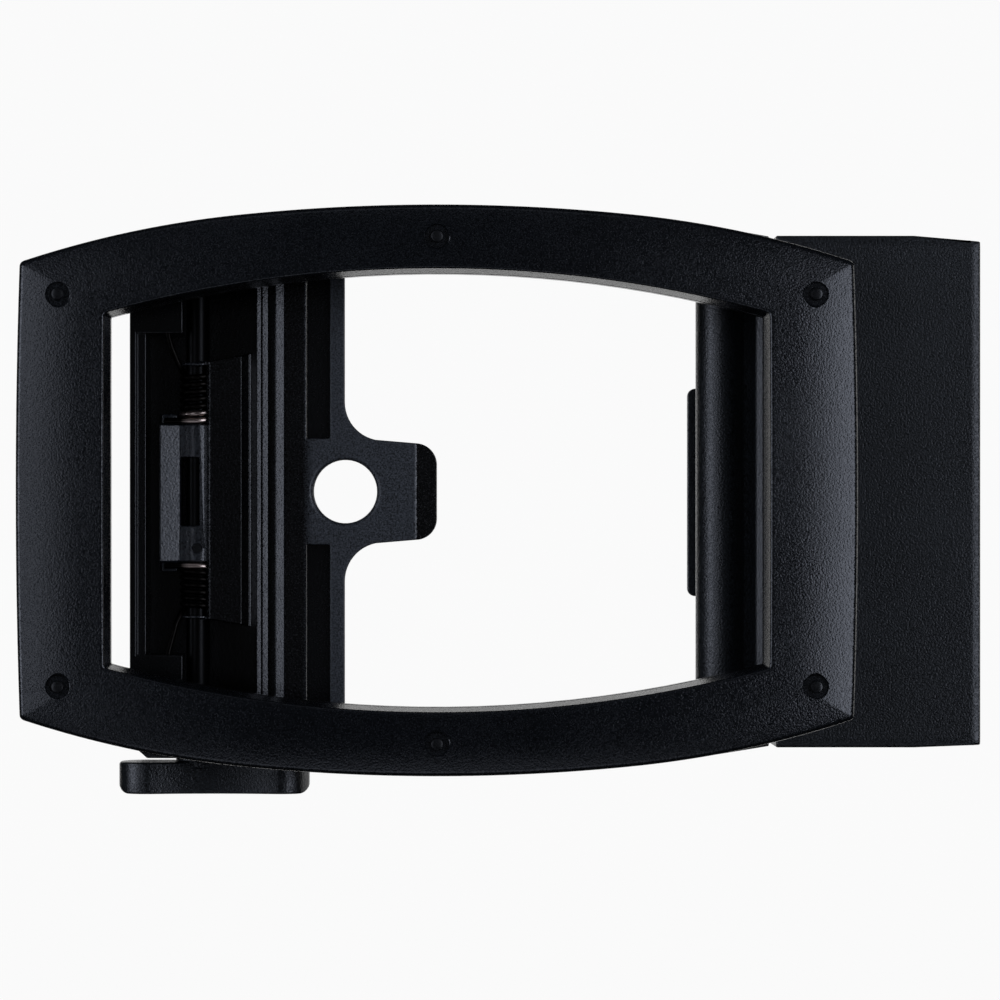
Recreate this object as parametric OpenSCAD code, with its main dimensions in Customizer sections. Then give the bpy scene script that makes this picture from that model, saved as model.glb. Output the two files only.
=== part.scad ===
// Ratchet belt buckle for a 35 mm strap, worn with the bezel facing -Y.
// X runs along the belt, Z is up, and the origin is the middle of the strap passage.

/* [Strap] */
// Width of the strap that the buckle takes
strap_w = 35; // [34.6:0.1:35.2]
// Depth of the strap passage at the middle of the buckle
passage_t = 6; // [6:0.05:6.2]

/* [Bezel] */
// Length of the bezel along the belt
bezel_w = 63.7; // [63.4:0.1:64]
// Height of the bezel at its middle
bezel_h = 43.2; // [42.8:0.1:43.4]
// Thickness of the bezel at its middle
bezel_t = 2.6; // [2.4:0.1:3]
// Length of the window
window_w = 50.2; // [50:0.1:50.6]
// Height of the window at its middle
window_h = 33.4; // [33:0.1:33.6]
// Radius of the bezel's bend round the waist
bend_r = 300; // [280:10:320]
// Radius of the bezel's crown from top to bottom
crown_r = 160; // [150:10:200]

/* [Chassis] */
// Thickness of the frame plate behind the bezel
frame_t = 1.2; // [1.1:0.1:1.4]
// Thickness of the upper rail
rail_t = 1.5; // [1.3:0.1:1.5]
// Thickness of the back cover
cover_t = 1; // [0.8:0.1:1.2]

/* [Ratchet] */
// Height of the pawl tooth above the face that the strap slides on
tooth_h = 1; // [0.8:0.1:1]
// Radius of the pawl shaft
shaft_r = 0.9; // [0.85:0.01:0.9]
// Wire diameter of the pawl springs
wire_d = 0.45; // [0.4:0.05:0.45]
// Radius of the hole in the guide plate's tongue
tongue_hole_r = 2.45; // [2.3:0.05:2.5]

/* [Clamp] */
// Radius of the clamp's swivel barrel
barrel_r = 2.2; // [2:0.1:2.3]
// Radius of the clamp's hinge pin
hinge_pin_r = 1.2; // [1:0.1:1.2]
// Height of the clamp's front plate
clamp_h = 39.7; // [39.5:0.1:40]

/* [Hidden] */

$fn = 96;
fit = 0.05;              // radial clearance of everything that turns
reach = 60;              // long enough to pass any piece

// Depths, from the front to the back
frame_back_y = -passage_t / 2;
frame_front_y = frame_back_y - frame_t;
bezel_front_y = frame_front_y - bezel_t;
slide_y = passage_t / 2;             // face that the strap slides on
cover_y = 9.2;
back_y = cover_y + cover_t;
bend_y = bezel_front_y + bend_r;     // axis of the bend, far behind the buckle

// Outline of the bezel
bezel_mid_r = 150;                   // arc of the long edges, up to end_x
bezel_end_r = 79;                    // tighter arc beyond it
end_x = 15;
end_a = asin(end_x / bezel_mid_r);
end_lift = 0.01;                     // the tighter arc stands this proud, so that it crosses the other
end_overlap = 3;
end_cx = end_x - (bezel_end_r - end_lift) * sin(end_a);
end_cz = bezel_h / 2 - bezel_mid_r * (1 - cos(end_a)) - (bezel_end_r - end_lift) * cos(end_a);
bezel_side_r = 740;
window_arc_r = 96.5;
window_ledge = 0.3;                  // how far the frame shows inside the window
frame_inset = 0.25;

// Rivets that hold the bezel: x, z
rivets = [for (x = [-28.7, 28.7], z = [-14.85, 14.85]) [x, z], [0, -19.15], [0, 19.15]];
rivet_r = 0.48;
rivet_ring_r = 0.93;
rivet_ring_depth = 0.45;
rivet_head_r = 0.95;
rivet_head_t = 0.45;

// Rails
rail_in = strap_w / 2 + 0.7;
rail_out = rail_in + rail_t;
rail_low = rail_out + 0.6;           // the lower rail is thicker, for the lever
rail_x0 = -22.8;
rail_x1 = 25.2;
rail_corner = [0.8, 0.7];            // how the outer corner slopes off at the left end: length, depth
rail_slope_x = [19.5, 22.9];         // where the lower and the upper rail begin to slope off at the right end
rail_slope = [1, 0.5];
rail_end_x = 25.8;
ear_r = 3.2;

// Mechanism
house_x0 = -23.8;
house_lip_x = -23.3;
house_wall_x = -22.6;
block_x = -19.7;
block_z = [12.7, 12.3];              // near face of the lower and the upper block
cover_x1 = -7.6;
screw_r = 0.8;
screw_head_r = 1.4;
screw_head_t = 0.6;
cover_screw_l = 4;
cover_screws = [for (x = [-21.6, -11.8], z = [-15.3, 15.3]) [x, z]];
bar_x0 = -13.98;
bar_front = [[bar_x0, 0.6], [bar_x0, 0.25], [-13.62, 0.36], [-13.6, 0.6], [-13.56, 0.6], [-13.54, 0.2],
             [-13.08, 0.34], [-13.05, 0.75], [-12.56, 0.75], [-12.56, -0.25], [-12.48, -0.3], [-11.83, -0.1],
             [-11.8, 0.15]];           // its two fine beads and its ridge: x, depth behind the slide face
bar_back_x0 = -13.1;
bar_x1 = -10.3;
plate_x0 = -11.75;
plate_x1 = -7.15;
plate_t = 1;
plate_y = slide_y + 0.1;
slot_x = [-10.1, -8.3];
slot_z = [4.1, 16.8];
tongue_z = 3.75;
tongue_root_z = 4.3;
tongue_fillet_bite = 0.35;           // how far the fillet cuts into the root
tongue_fillet_r = 3;
tongue_corner_r = 1.65;
bend_x = -1.65;
tip_drop = 1.15;
hole_x = -7.1;
hole_chamfer = 0.25;
plate_rivets = [-13, 0, 13];
plate_rivet_x = -10.95;
plate_rivet_r = 0.4;

// Pawl, on its shaft
pawl_x = -18.6;
pawl_y = 4.4;
tooth_x = -14.3;
tooth_y = slide_y - tooth_h;
pawl_left_x = -17.65;
knuckle_z = [-5.45, 5.2];
ear_z = [-6.2, 6];                   // ears of the knuckle that the spring legs press on
knuckle_x = -21.5;
pawl_window_x = [-19.9, -18.4];
pawl_window_z = 2.65;
spring_gap_r = 1.65;
roll_pin_r = 0.35;
roll_pin_z = -4.4;
coil_r = 1.2;
coil_turns = 7;
spring_z = [[-5.75, -9.2], [5.5, 9.3]];
spring_leg = 2.5;
anchor_x = -20.9;                    // where a spring's outer leg enters its corner block
anchor_y = 3.6;
anchor_r = 0.3;
anchor_depth = 1;

// Release lever below the lower rail
lever_z = [-23.4, -20.95];
lever_x = [-24.7, -9.9];
lever_half_y = 2.2;
lever_boss_r = 1.7;
lever_scoop_r = 20;
lever_scoop = 0.6;
key_w = 1.25;
key_z = -22.5;
lever_screw_r = 0.4;
lever_head_r = 1.3;

// Strap clamp, at its swivel axis
swivel_x = 22.4;
swivel_y = 5.7;
clamp_x0 = 26.3;
clamp_x1 = 42.15;
clamp_y = slide_y + 0.2;
clamp_plate_t = 1.05;
clamp_taper = [0.2, 0.45];            // at its lower and its upper edge
clamp_taper_x = 37;                  // the front plate narrows from here to its mouth
clamp_in = rail_in - 0.1;
neck_z = rail_in - 0.6;
barrel_z = rail_in - 0.3;
swivel_gap_r = ear_r + 0.3;
door_t = 1;
door_z = clamp_in - 0.2;
door_x0 = 26.4;
door_x = 39.6;
door_pin_r = 0.6;
door_knuckle_r = 0.8;
door_y = back_y - door_t;
door_pin_y = back_y - door_knuckle_r;
tab_x = 19.8;
tab_z = 8.2;
tooth_rows = [28.2:1.9:36];
tooth_row_h = 0.7;
grub_x = 33.9;
grub_z = 9.5;
grub_r = 1.25;

// Depth of the bezel's face, and of a surface that bends with it, at a point
function face_y(x, z) =
    bend_y - sqrt(pow(bend_r - crown_r + sqrt(crown_r * crown_r - z * z), 2) - x * x);
function bent_y(depth, x) = bend_y - sqrt(pow(bend_y - depth, 2) - x * x);

// A slab between two depths, from an outline in x and z
module slab(y0, y1) {
    translate([0, y1, 0]) rotate([90, 0, 0]) linear_extrude(y1 - y0) children();
}

// A prism between two heights, from a section in x and y
module prism(z0, z1) {
    translate([0, 0, z0]) linear_extrude(z1 - z0) children();
}

// A round bar along y
module peg(x, z, y0, y1, r) {
    translate([x, y0, z]) rotate([-90, 0, 0]) cylinder(r = r, h = y1 - y0);
}

// Everything behind a surface that bends with the bezel
module behind(depth) {
    translate([0, bend_y, -reach / 2]) cylinder(r = bend_y - depth, h = reach, $fn = 720);
}

// A rectangle with round corners
module round_rect(p0, p1, r) {
    for (c = [[r, 0], [0, r]])
        translate(p0 + c) square(p1 - p0 - 2 * c);
    for (x = [p0.x + r, p1.x - r], y = [p0.y + r, p1.y - r])
        translate([x, y]) circle(r);
}

// The side of the bezel's upper edge that the metal is on
module below_upper_edge(inset) {
    intersection() {
        translate([0, bezel_h / 2 - bezel_mid_r]) circle(bezel_mid_r - inset, $fn = 720);
        translate([-end_x, -reach]) square([2 * end_x, 2 * reach]);
    }
    for (side = [0, 1])
        mirror([side, 0]) intersection() {
            translate([end_cx, end_cz]) circle(bezel_end_r - inset, $fn = 720);
            translate([end_x - end_overlap, -reach]) square([reach, 2 * reach]);
        }
}

// Barrel outline of the bezel, brought in by an inset
module barrel_outline(inset = 0) {
    intersection() {
        below_upper_edge(inset);
        mirror([0, 1]) below_upper_edge(inset);
        intersection_for (side = [-1, 1])
            translate([side * (bezel_w / 2 - bezel_side_r), 0]) circle(bezel_side_r - inset, $fn = 1440);
    }
}

// Outline of the window, brought in by an inset
module window_outline(inset = 0) {
    intersection() {
        intersection_for (side = [-1, 1])
            translate([0, side * (window_h / 2 - window_arc_r)]) circle(window_arc_r - inset, $fn = 720);
        square([window_w - 2 * inset, reach], center = true);
    }
}

module front_bezel() {
    color("#202124") difference() {
        intersection() {
            translate([0, bend_y, 0]) rotate_extrude($fn = 720) intersection() {
                translate([bend_r - crown_r, 0]) circle(crown_r, $fn = 720);
                translate([bend_r - 2 * bezel_t - 4, -reach / 2]) square([reach, reach]);
            }
            slab(bezel_front_y - 1, 4) barrel_outline();
        }
        behind(frame_front_y);
        slab(-reach, reach) window_outline();
        for (p = rivets) {
            peg(p.x, p[1], -reach, reach, rivet_r);
            peg(p.x, p[1], -reach, face_y(p.x, p[1]) + rivet_ring_depth, rivet_ring_r);
        }
    }
}

// Side view of a rail: strap wall, rear edge and the ear for the clamp's hinge pin
module rail_profile() {
    polygon([[rail_x0, -8], [rail_x1, -8], [rail_x1, 4], [swivel_x, 5.2], [-3, 5.2],
             [-7, cover_y], [rail_x0, cover_y]]);
    polygon([[16, 5.2], [swivel_x, 3.5], [swivel_x, swivel_y + ear_r], [20.6, swivel_y + 2.6]]);
    translate([swivel_x, swivel_y]) circle(ear_r);
}

// Front view of a rail, out to its outer face. side is 0 for the lower rail, 1 for the upper.
module rail_outline(out, side) {
    polygon([[rail_x0, 0], [rail_x0, out - rail_corner[1]], [rail_x0 + rail_corner[0], out],
             [rail_slope_x[side], out], [rail_end_x, out - rail_slope[side]], [rail_end_x, 0]]);
}

module chassis() {
    color("#17181a") difference() {
        union() {
            intersection() {
                difference() {
                    behind(frame_front_y);
                    behind(frame_back_y);
                }
                slab(frame_front_y - 1, 4) barrel_outline(frame_inset);
            }
            for (side = [0, 1]) mirror([0, 0, 1 - side]) intersection() {
                behind(frame_front_y);
                prism(rail_in, reach) rail_profile();
                slab(-reach, reach) rail_outline(side == 0 ? rail_low : rail_out, side);
            }
        }
        slab(-reach, 2) window_outline(window_ledge);
        for (p = rivets) {
            peg(p.x, p[1], -reach, 0, rivet_r);
            peg(p.x, p[1], bent_y(frame_back_y, p.x) - rivet_head_t, 2, rivet_head_r);
        }
        translate([swivel_x, swivel_y, -reach / 2]) cylinder(r = hinge_pin_r, h = reach);
        translate([pawl_x, pawl_y, -reach / 2]) cylinder(r = shaft_r + fit, h = reach);
    }
}

module bezel_rivets() {
    color("#26282b") for (p = rivets) {
        head_y = bent_y(frame_back_y, p.x) - rivet_head_t;
        peg(p.x, p[1], face_y(p.x, p[1]) + 0.12, head_y, rivet_r);
        peg(p.x, p[1], head_y, head_y + rivet_head_t - 0.1, rivet_head_r);
    }
}

module mechanism_housing() {
    color("#17181a") difference() {
        union() {
            prism(-rail_in, rail_in)
                polygon([[house_x0, slide_y], [house_lip_x, slide_y], [house_lip_x, slide_y + 1],
                         [house_wall_x, slide_y + 1], [house_wall_x, cover_y], [house_x0, cover_y]]);
            prism(-rail_in, -block_z[0]) block_section();
            prism(block_z[1], rail_in) block_section();
        }
        for (p = cover_screws) peg(p.x, p[1], back_y - cover_screw_l, reach, screw_r);
        for (side = [0, 1])
            mirror([0, 0, 1 - side]) translate([anchor_x, anchor_y, block_z[side] - 1])
                cylinder(r = anchor_r, h = anchor_depth + 1);
    }
}

// Section of the corner blocks that the cover screws bite in
module block_section() {
    translate([house_x0, slide_y]) square([block_x - house_x0, cover_y - slide_y]);
}

module back_cover() {
    color("#1a1b1d") difference() {
        slab(cover_y, back_y) difference() {
            round_rect([house_x0, -rail_low], [cover_x1, rail_out], 1.5);
            translate([hole_x, 0]) circle(tongue_hole_r + 0.9);
        }
        for (p = cover_screws) {
            peg(p.x, p[1], 0, reach, screw_r);
            peg(p.x, p[1], back_y - screw_head_t, reach, screw_head_r);
        }
    }
}

module cover_screws() {
    color("#3a3b3e") for (p = cover_screws) difference() {
        union() {
            peg(p.x, p[1], back_y - cover_screw_l, back_y - screw_head_t, screw_r);
            peg(p.x, p[1], back_y - screw_head_t, back_y, screw_head_r);
        }
        for (a = [0, 90])
            translate([p.x, back_y, p[1]]) rotate([0, a, 0]) cube([1.6, 0.7, 0.35], center = true);
    }
}

// The ridged bar between the pawl and the guide plate
module cross_bar() {
    color("#1d1f21") difference() {
        prism(-rail_in, rail_in)
            polygon(concat([for (p = bar_front) [p.x, slide_y + p.y]],
                           [[plate_x0, plate_y + fit], [plate_x0, plate_y + plate_t], [bar_x1, plate_y + plate_t],
                            [bar_x1, cover_y], [bar_back_x0, cover_y], [bar_back_x0, slide_y + 1.3]]));
        for (p = cover_screws) peg(p.x, p[1], back_y - cover_screw_l, reach, screw_r);
        for (z = plate_rivets) peg(plate_rivet_x, z, 0, 6, plate_rivet_r);
    }
}

// Outline of the guide plate: a strip with two slots, and a tongue with a hole
module guide_outline() {
    tongue_x1 = -tongue_corner_r;
    tongue_fillet_z = tongue_root_z - tongue_fillet_bite + tongue_fillet_r;
    difference() {
        union() {
            translate([plate_x0, -rail_in + fit]) square([plate_x1 - plate_x0, 2 * (rail_in - fit)]);
            polygon([[plate_x1 - 1, -tongue_root_z], [tongue_x1, -tongue_z],
                     [tongue_x1, tongue_z], [plate_x1 - 1, tongue_root_z]]);
            translate([tongue_x1 - 1, tongue_corner_r - tongue_z])
                square([tongue_corner_r + 1, 2 * (tongue_z - tongue_corner_r)]);
            for (side = [-1, 1])
                translate([tongue_x1, side * (tongue_z - tongue_corner_r)]) circle(tongue_corner_r);
            difference() {
                translate([plate_x1 - 1, -tongue_fillet_z]) square([tongue_fillet_r + 1, 2 * tongue_fillet_z]);
                for (side = [-1, 1])
                    translate([plate_x1 + tongue_fillet_r, side * tongue_fillet_z]) circle(tongue_fillet_r);
            }
        }
        for (side = [0, 1]) mirror([0, side])
            translate([slot_x[0], slot_z[0]]) square([slot_x[1] - slot_x[0], slot_z[1] - slot_z[0]]);
    }
}

module guide_plate() {
    color("#1f2123") difference() {
        intersection() {
            slab(0, 8) guide_outline();
            prism(-reach / 2, reach / 2)
                polygon([[plate_x0, plate_y], [bend_x, plate_y], [0, plate_y + tip_drop],
                         [0, plate_y + tip_drop + plate_t], [bend_x, plate_y + plate_t],
                         [plate_x0, plate_y + plate_t]]);
        }
        peg(hole_x, 0, 0, 8, tongue_hole_r);
        translate([hole_x, plate_y, 0]) rotate([-90, 0, 0])
            cylinder(r1 = tongue_hole_r + hole_chamfer, r2 = tongue_hole_r, h = hole_chamfer);
        for (z = plate_rivets) peg(plate_rivet_x, z, 0, 8, plate_rivet_r);
    }
}

module guide_plate_rivets() {
    color("#26282b") for (z = plate_rivets) peg(plate_rivet_x, z, plate_y, 6, plate_rivet_r);
}

// Sections of the pawl: its toothed block and its knuckle
module pawl_block_section() {
    polygon([[-18.4, slide_y + 0.5], [pawl_left_x, slide_y - 0.05], [tooth_x - 0.8, slide_y - 0.05],
             [tooth_x - 0.25, tooth_y], [tooth_x, tooth_y], [tooth_x - 0.9, tooth_y + 3.6], [-16.2, 6.6], [-18.4, 6.2]]);
}

module pawl_knuckle_section() {
    polygon([[knuckle_x, slide_y], [-19.9, slide_y + 0.47], [-19.2, slide_y + 0.2], [-17.6, slide_y + 0.2],
             [-17, 4.6], [-17, 6.4], [knuckle_x, 5.9]]);
}

module pawl_ear_section() {
    polygon([[knuckle_x, slide_y + 1], [knuckle_x + 0.2, slide_y + 0.5], [-20.15, slide_y + 0.5],
             [-20.15, 5.6], [knuckle_x, 5.6]]);
}

module pawl() {
    color("#2c2e31") difference() {
        union() {
            intersection() {
                prism(-reach / 2, reach / 2) pawl_block_section();
                slab(0, 8) polygon([[-19, -9.8], [pawl_left_x, -9.9], [tooth_x, -10.5], [tooth_x, 10.7],
                                    [pawl_left_x, 10.1], [-19, 10]]);
            }
            prism(-9.8, 10) translate([pawl_x, pawl_y]) circle(1.4);
            prism(knuckle_z[0], knuckle_z[1]) pawl_knuckle_section();
            prism(ear_z[0], ear_z[1]) pawl_ear_section();
        }
        translate([pawl_x, pawl_y, knuckle_z[1]])
            cylinder(r = spring_gap_r, h = spring_z[1][1] + wire_d - knuckle_z[1]);
        translate([pawl_x, pawl_y, spring_z[0][1] - wire_d])
            cylinder(r = spring_gap_r, h = knuckle_z[0] - spring_z[0][1] + wire_d);
        translate([pawl_window_x[0], 0, -pawl_window_z])
            cube([pawl_window_x[1] - pawl_window_x[0], 10, 2 * pawl_window_z]);
        translate([pawl_x, pawl_y, -reach / 2]) cylinder(r = shaft_r, h = reach);
        peg(pawl_x, roll_pin_z, 0, reach, roll_pin_r);
    }
}

module pawl_shaft() {
    color("#3a3b3e") difference() {
        union() {
            translate([pawl_x, pawl_y, lever_z[1]]) cylinder(r = shaft_r, h = rail_out - lever_z[1] + 0.1);
            translate([pawl_x, pawl_y, rail_out + 0.1]) cylinder(r = 1.5, h = 0.5);
            translate([pawl_x - key_w / 2, pawl_y - key_w / 2, key_z]) cube([key_w, key_w, lever_z[1] - key_z]);
        }
        translate([pawl_x, pawl_y, key_z - 1]) cylinder(r = lever_screw_r, h = 3.6);
        peg(pawl_x, roll_pin_z, 0, reach, roll_pin_r);
    }
}

module pawl_roll_pin() {
    color("#8d8f92") peg(pawl_x, roll_pin_z, slide_y + 0.05, 6.2, roll_pin_r);
}

// Path of a torsion spring: a straight leg on the pawl's ear, the coil, and a leg that
// leaves the coil and ends in a corner block. side is 0 for the lower spring, 1 for the upper.
function spring_path(side) =
    let (z0 = spring_z[side][0],
         z1 = spring_z[side][1],
         dir = sign(z0),
         steps = 16 * coil_turns,
         sweep = 360 * coil_turns - 90)
    concat(
        [for (t = [1, 0.5]) [pawl_x - t * spring_leg, pawl_y - coil_r, z0]],
        [for (i = [0:steps])
            let (a = -90 + sweep * i / steps)
            [pawl_x + coil_r * cos(a), pawl_y + coil_r * sin(a), z0 + (z1 - z0) * i / steps]],
        [for (p = [[-1.06, 0.5, 0.2], [-0.92, 0.25, 0.5], [-0.67, 0.1, 1]])
            [anchor_x - p.x, anchor_y + p.y, z1 + dir * p.z]],
        [for (p = [[-0.3, -1.1], [-0.1, -0.4], [0, 0.3], [0.03, 0.8]])
            [anchor_x - p.x, anchor_y, dir * (block_z[side] + p.y)]]);

// A round wire along a path, as rings of eight points
module wire(path, d) {
    sides = 8;
    n = len(path);
    function unit(v) = v / norm(v);
    function along(i) = unit(path[min(i + 1, n - 1)] - path[max(i - 1, 0)]);
    ring = [for (i = [0:n - 1])
        let (t = along(i), u = unit(cross(t, [0, 0, 1])), v = cross(t, u))
        for (k = [0:sides - 1]) path[i] + d / 2 * (cos(360 * k / sides) * u + sin(360 * k / sides) * v)];
    polyhedron(
        ring,
        concat(
            [[for (k = [0:sides - 1]) k]],
            [for (i = [0:n - 2], k = [0:sides - 1])
                let (a = i * sides + k, b = i * sides + (k + 1) % sides)
                [a, a + sides, b + sides, b]],
            [[for (k = [sides - 1:-1:0]) (n - 1) * sides + k]]));
}

module pawl_spring_upper() {
    color("#b9b2ad") wire(spring_path(1), wire_d);
}

module pawl_spring_lower() {
    color("#b9b2ad") wire(spring_path(0), wire_d);
}

module release_lever() {
    round_x = [lever_x[0] + lever_half_y, lever_x[1] - lever_half_y];
    mid_x = (lever_x[0] + lever_x[1]) / 2;
    color("#1e2022") difference() {
        union() {
            intersection() {
                prism(lever_z[0], lever_z[1]) difference() {
                    union() {
                        translate([round_x[0], pawl_y - lever_half_y])
                            square([round_x[1] - round_x[0], 2 * lever_half_y]);
                        for (x = round_x) translate([x, pawl_y]) circle(lever_half_y);
                    }
                    translate([mid_x, pawl_y - lever_half_y - lever_scoop_r + lever_scoop])
                        circle(lever_scoop_r, $fn = 360);
                }
                slab(0, 10) {
                    round_rect([lever_x[0], lever_z[0]], [lever_x[1], lever_z[1]], 0.8);
                    round_rect([lever_x[0], lever_z[0] + 1], [lever_x[1], lever_z[1]], 0.25);
                }
            }
            translate([pawl_x, pawl_y, lever_z[1] - 0.5])
                cylinder(r = lever_boss_r, h = 0.5 - lever_z[1] - rail_low - fit);
        }
        translate([pawl_x - key_w / 2, pawl_y - key_w / 2, key_z - 1]) cube([key_w, key_w, lever_z[1] - key_z + 1]);
        translate([pawl_x, pawl_y, lever_z[1]]) cylinder(r = shaft_r, h = 3);
        translate([pawl_x, pawl_y, lever_z[0] - 1]) cylinder(r = lever_head_r + fit, h = key_z - lever_z[0] + 1);
    }
}

module lever_screw() {
    color("#3a3b3e") difference() {
        union() {
            translate([pawl_x, pawl_y, key_z]) cylinder(r = lever_screw_r, h = 2.5);
            translate([pawl_x, pawl_y, lever_z[0] + 0.1]) cylinder(r = lever_head_r, h = key_z - lever_z[0] - 0.1);
        }
        translate([pawl_x, pawl_y, lever_z[0] + 0.1]) cube([2 * reach, 0.4, 0.7], center = true);
    }
}

// Front plate of the clamp, a little narrower at its mouth
module clamp_outline() {
    polygon([[clamp_x0, -clamp_h / 2], [clamp_taper_x, -clamp_h / 2], [clamp_x1, clamp_taper[0] - clamp_h / 2],
             [clamp_x1, clamp_h / 2 - clamp_taper[1]], [clamp_taper_x, clamp_h / 2], [clamp_x0, clamp_h / 2]]);
}

module clamp_body() {
    plate_back = clamp_y + clamp_plate_t;
    color("#2a2c2f") difference() {
        union() {
            slab(clamp_y, plate_back) clamp_outline();
            intersection() {
                slab(clamp_y, back_y) clamp_outline();
                union() for (side = [0, 1]) mirror([0, 0, side])
                    prism(clamp_in, reach / 2)
                        polygon([[clamp_x0, clamp_y], [clamp_x1, clamp_y], [clamp_x1, back_y - 1.2],
                                 [clamp_x1 - 1.2, back_y], [clamp_x0 + 1.6, back_y], [clamp_x0, back_y - 1.6]]);
            }
            prism(-neck_z, neck_z)
                polygon([[swivel_x, swivel_y - 1.9], [24.8, 4.1], [26.5, clamp_y], [28.4, clamp_y],
                         [28.4, plate_back], [27.4, 5.4], [25, 7.3], [swivel_x, swivel_y + 2]]);
            translate([swivel_x, swivel_y, -barrel_z]) cylinder(r = barrel_r, h = 2 * barrel_z);
        }
        translate([swivel_x, swivel_y, -reach / 2]) cylinder(r = hinge_pin_r + fit, h = reach);
        for (side = [0, 1]) mirror([0, 0, side])
            translate([swivel_x, swivel_y, clamp_in]) cylinder(r = swivel_gap_r, h = reach);
        translate([door_x, door_pin_y, -reach / 2]) cylinder(r = door_pin_r, h = reach);
    }
}

module clamp_hinge_pin() {
    color("#8d8f92") translate([swivel_x, swivel_y, 0.3 - rail_low])
        cylinder(r = hinge_pin_r, h = rail_low + rail_out - 0.6);
}

module clamp_door() {
    color("#26282b") difference() {
        union() {
            prism(-door_z, door_z) {
                translate([door_x0, door_y]) square([door_x - door_x0, door_t]);
                translate([door_x, door_pin_y]) circle(door_knuckle_r);
            }
            slab(door_y, back_y) round_rect([tab_x, -tab_z], [door_x0 + 2, tab_z], 0.6);
            for (x = tooth_rows) prism(3 - door_z, door_z - 3)
                polygon([[x - 0.7, door_y], [x + 0.35, door_y - tooth_row_h], [x + 0.5, door_y - tooth_row_h],
                         [x + 0.65, door_y], [x, door_y + 0.2]]);
        }
        translate([door_x, door_pin_y, -reach / 2]) cylinder(r = door_pin_r + fit, h = reach);
        for (z = [-grub_z, grub_z]) peg(grub_x, z, 0, reach, grub_r);
    }
}

module door_pin() {
    color("#8d8f92") translate([door_x, door_pin_y, 0.2 - clamp_h / 2]) cylinder(r = door_pin_r, h = clamp_h - 0.4);
}

module door_grub_screws() {
    color("#3a3b3e") for (z = [-grub_z, grub_z]) difference() {
        peg(grub_x, z, door_y - tooth_row_h + 0.1, back_y - 0.1, grub_r);
        translate([grub_x, back_y - 1, z]) rotate([-90, 0, 0]) cylinder(r = 0.75, h = 2, $fn = 6);
    }
}

front_bezel();
chassis();
bezel_rivets();
mechanism_housing();
back_cover();
cover_screws();
cross_bar();
guide_plate();
guide_plate_rivets();
pawl();
pawl_shaft();
pawl_roll_pin();
pawl_spring_upper();
pawl_spring_lower();
release_lever();
lever_screw();
clamp_body();
clamp_hinge_pin();
clamp_door();
door_pin();
door_grub_screws();
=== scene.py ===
import math

import bmesh
import bpy
from mathutils import Matrix, Vector


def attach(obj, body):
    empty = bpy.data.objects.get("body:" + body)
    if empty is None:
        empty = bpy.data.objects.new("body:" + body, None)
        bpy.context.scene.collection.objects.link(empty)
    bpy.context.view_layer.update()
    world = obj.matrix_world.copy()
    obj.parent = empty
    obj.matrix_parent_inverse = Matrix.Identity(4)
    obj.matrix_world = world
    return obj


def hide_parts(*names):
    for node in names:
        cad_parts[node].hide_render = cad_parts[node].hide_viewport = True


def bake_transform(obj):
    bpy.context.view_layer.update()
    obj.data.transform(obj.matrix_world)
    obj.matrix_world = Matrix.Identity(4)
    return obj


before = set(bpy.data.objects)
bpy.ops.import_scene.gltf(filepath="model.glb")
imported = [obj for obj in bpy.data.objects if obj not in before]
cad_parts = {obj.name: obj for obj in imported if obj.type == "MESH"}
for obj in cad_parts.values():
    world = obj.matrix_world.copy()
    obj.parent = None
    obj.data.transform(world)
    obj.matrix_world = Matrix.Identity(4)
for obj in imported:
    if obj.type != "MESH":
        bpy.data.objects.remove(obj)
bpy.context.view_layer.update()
scene = bpy.context.scene
mm = 0.001
print("frame loaded:", len(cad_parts), "CAD nodes")


# Small helpers

def toLinear(hexColour):
    parts = [int(hexColour[i:i + 2], 16) / 255 for i in (1, 3, 5)]
    return tuple(p / 12.92 if p <= 0.04045 else ((p + 0.055) / 1.055) ** 2.4 for p in parts) + (1.0,)


def addNode(tree, kind, settings=None, inputs=None):
    node = tree.nodes.new(kind)
    for key, value in (settings or {}).items():
        setattr(node, key, value)
    for key, value in (inputs or {}).items():
        if isinstance(value, bpy.types.NodeSocket):
            tree.links.new(value, node.inputs[key])
        else:
            node.inputs[key].default_value = value
    return node


def addObject(name, mesh):
    piece = bpy.data.objects.new(name, mesh)
    scene.collection.objects.link(piece)
    return piece


def meshFrom(name, points, faces, edges=()):
    mesh = bpy.data.meshes.new(name)
    mesh.from_pydata([tuple(c * mm for c in p) for p in points], list(edges), faces)
    mesh.validate()
    return mesh


def bakeModifiers(piece):
    shown = piece.evaluated_get(bpy.context.evaluated_depsgraph_get())
    mesh = bpy.data.meshes.new_from_object(shown)
    piece.modifiers.clear()
    piece.data = mesh
    return piece


def outwardNormals(mesh):
    work = bmesh.new()
    work.from_mesh(mesh)
    bmesh.ops.remove_doubles(work, verts=work.verts, dist=0.0002 * mm)
    bmesh.ops.recalc_face_normals(work, faces=work.faces)
    work.to_mesh(mesh)
    work.free()


def smoothUpTo(mesh, degrees):
    mesh.shade_smooth()
    mesh.set_sharp_from_angle(angle=math.radians(degrees))


def paintWith(piece, material):
    piece.data.materials.clear()
    piece.data.materials.append(material)


def settle(piece, body, slotName, *nodes):
    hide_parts(*nodes)
    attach(piece, body)
    return piece


# Finishes. In each look, sizes are in mm, and a pair goes from the dark tone to the light one

noiseSpan = (0.3, 0.7)  # where nearly all of a noise texture's values lie


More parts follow.
